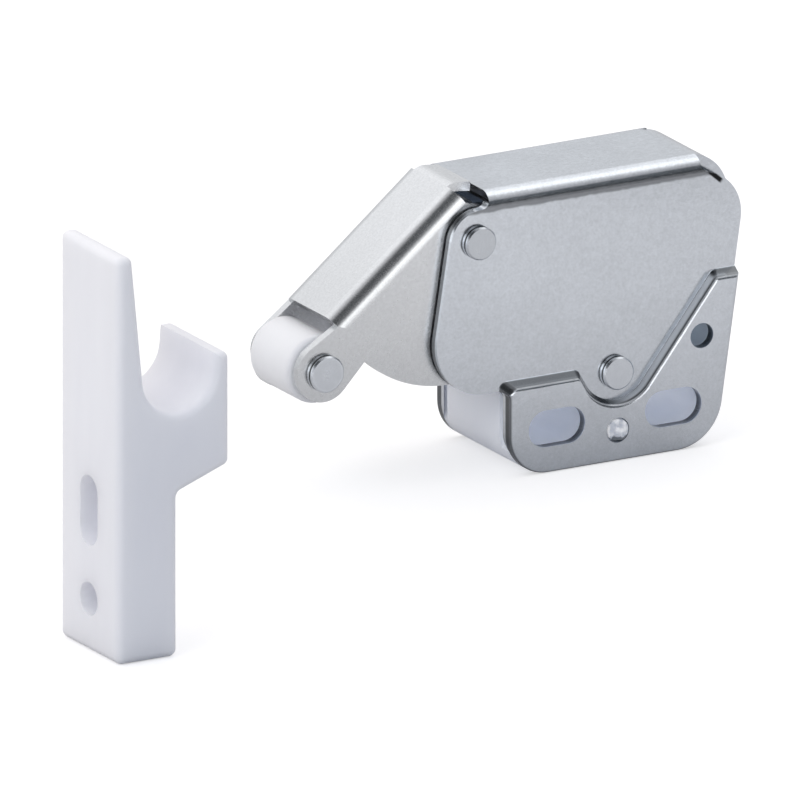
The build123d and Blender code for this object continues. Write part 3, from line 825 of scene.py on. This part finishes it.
class LATCH_OT_stage(bpy.types.Operator):
    """Sets up the floor, the studio light and the camera"""

    bl_idname = "latch.stage"
    bl_label = "Stage"

    def execute(self, context):
        scene = context.scene
        stage = scene.latch_stage
        self.floor(scene, stage)
        self.sky(scene, stage)
        softbox("key", KEY_PLACE, KEY_AIM, KEY_SIZE, stage.key)
        softbox("rim", RIM_PLACE, RIM_AIM, RIM_SIZE, stage.rim)
        self.camera(scene, stage)
        scene.view_settings.view_transform = "Standard"
        return {"FINISHED"}

    def floor(self, scene, stage):
        """Pale floor under both pieces, lifted to white where nothing shades it."""
        z = stage.floor_z
        h = FLOOR_HALF * MM
        mesh = bpy.data.meshes.new("floor")
        mesh.from_pydata([(-h, -h, z), (h, -h, z), (h, h, z), (-h, h, z)], [], [(0, 1, 2, 3)])
        floor = bpy.data.objects.new("floor", mesh)
        scene.collection.objects.link(floor)
        material, g = new_graph("floor")
        path = g.add("ShaderNodeLightPath")
        seen = Field(g, path.outputs["Is Camera Ray"])
        mirrored_ray = Field(g, path.outputs["Is Glossy Ray"])
        x, y, _ = g.split(g.place())
        ahead = -y
        aside = (x / (ahead + 1.0)).smooth(*FLOOR_ASIDE)
        strip = ahead.smooth(*FLOOR_STRIP_FROM) * (1.0 - aside)
        dark = ahead.smooth(*FLOOR_DARK_FROM) * aside * (1.0 - seen)
        glow = ahead.smooth(*FLOOR_GLOW_FROM) * stage.floor_glow
        lift = seen * stage.floor_lift + mirrored_ray * (glow + strip)
        g.surface(
            Base_Color=g.mix(dark, FLOOR_TONE, FLOOR_DARK_TONE),
            Roughness=1.0,
            Emission_Color=g.join(lift, lift, lift),
            Emission_Strength=1.0,
        )
        mesh.materials.append(material)

    def sky(self, scene, stage):
        """Even light, dimmer in front, and bright and dark fields for the metal to reflect."""
        world = bpy.data.worlds.new("studio")
        world.use_nodes = True
        scene.world = world
        g = Graph(world.node_tree)
        source = g.add("ShaderNodeTexCoord")
        x, y, z = g.split(source.outputs["Generated"])
        forward = -y
        right = x.smooth(*RIGHT_FROM)
        left = 1.0 - right
        back = g.mix(z.smooth(*BACK_HIGH_FROM), BACK_TONE, BACK_HIGH_TONE)
        narrow = 1.0 - abs(y).smooth(*OVERHEAD_HALF_DEPTH)
        overhead = right * z.smooth(*OVERHEAD_FOOT) * narrow
        gloom = right * forward.smooth(*GLOOM_FROM) * (1.0 - z.smooth(*GLOOM_TOP))
        thinned = 1.0 - x.smooth(*SHADE_END) * SHADE_THINNING
        shade = left * forward.smooth(*SHADE_FROM) * z.smooth(*SHADE_FOOT) * thinned
        level = 1.0 - abs(z).smooth(*STRIP_HALF_HEIGHT)
        strip = left * forward.smooth(*STRIP_FROM) * level
        tone = g.layered(
            FRONT_TONE,
            (y.smooth(*BACK_FROM), back),
            (overhead, OVERHEAD_TONE),
            (shade, SHADE_TONE),
            (strip, STRIP_TONE),
            (gloom, GLOOM_TONE),
        )
        reflected = g.add("ShaderNodeBackground", sockets={0: tone, 1: stage.sky})
        front = forward.smooth(*DIM_FROM) * (1.0 - z.smooth(*DIM_TOP))
        even = g.mix(front, EVEN_TONE, DIM_TONE)
        plain = g.add("ShaderNodeBackground", sockets={0: even, 1: stage.daylight})
        glossy = g.add("ShaderNodeLightPath").outputs["Is Glossy Ray"]
        sockets = {0: glossy, 1: plain.outputs[0], 2: reflected.outputs[0]}
        both = g.add("ShaderNodeMixShader", sockets=sockets)
        g.add("ShaderNodeOutputWorld", sockets={0: both.outputs[0]})

    def camera(self, scene, stage):
        """Parallel view from the front left, placed by the arm pin's spot in the picture."""
        a = stage.azimuth
        e = stage.elevation
        right = Vector((cos(a), -sin(a), 0.0))
        up = Vector((sin(e) * sin(a), sin(e) * cos(a), cos(e)))
        towards = right.cross(up)
        pixel = MM / stage.scale
        pin = Vector((PIVOT.x, -PIN_SPOT_DEPTH, PIVOT.z)) * MM
        aside = (PICTURE / 2 - PIN_SPOT[0]) * pixel
        down = (PICTURE / 2 - PIN_SPOT[1]) * pixel
        lens = bpy.data.cameras.new("camera")
        lens.type = "ORTHO"
        lens.ortho_scale = PICTURE * pixel
        lens.clip_end = 20.0
        holder = bpy.data.objects.new("camera", lens)
        scene.collection.objects.link(holder)
        place = Matrix.Translation(pin + right * aside - up * down + towards)
        holder.matrix_world = place @ Matrix((right, up, towards)).transposed().to_4x4()
        scene.camera = holder


STEPS = ("housing", "arm", "pins", "nylon", "springs", "keeper", "stage")


class LATCH_PT_panel(bpy.types.Panel):
    """Panel with a button for each group of pieces"""

    bl_label = "Touch latch"
    bl_idname = "LATCH_PT_panel"
    bl_space_type = "VIEW_3D"
    bl_region_type = "UI"
    bl_category = "Latch"

    def draw(self, context):
        for name in STEPS:
            self.layout.operator("latch." + name)


CLASSES = (
    LatchFinish,
    LatchStage,
    LATCH_OT_housing,
    LATCH_OT_arm,
    LATCH_OT_pins,
    LATCH_OT_nylon,
    LATCH_OT_springs,
    LATCH_OT_keeper,
    LATCH_OT_stage,
    LATCH_PT_panel,
)


def register():
    for cls in CLASSES:
        bpy.utils.register_class(cls)
    bpy.types.Scene.latch_finish = bpy.props.PointerProperty(type=LatchFinish)
    bpy.types.Scene.latch_stage = bpy.props.PointerProperty(type=LatchStage)


def unregister():
    del bpy.types.Scene.latch_stage
    del bpy.types.Scene.latch_finish
    for cls in reversed(CLASSES):
        bpy.utils.unregister_class(cls)


def main():
    register()
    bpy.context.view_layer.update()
    for name in STEPS:
        getattr(bpy.ops.latch, name)()


if __name__ == "__main__":
    main()
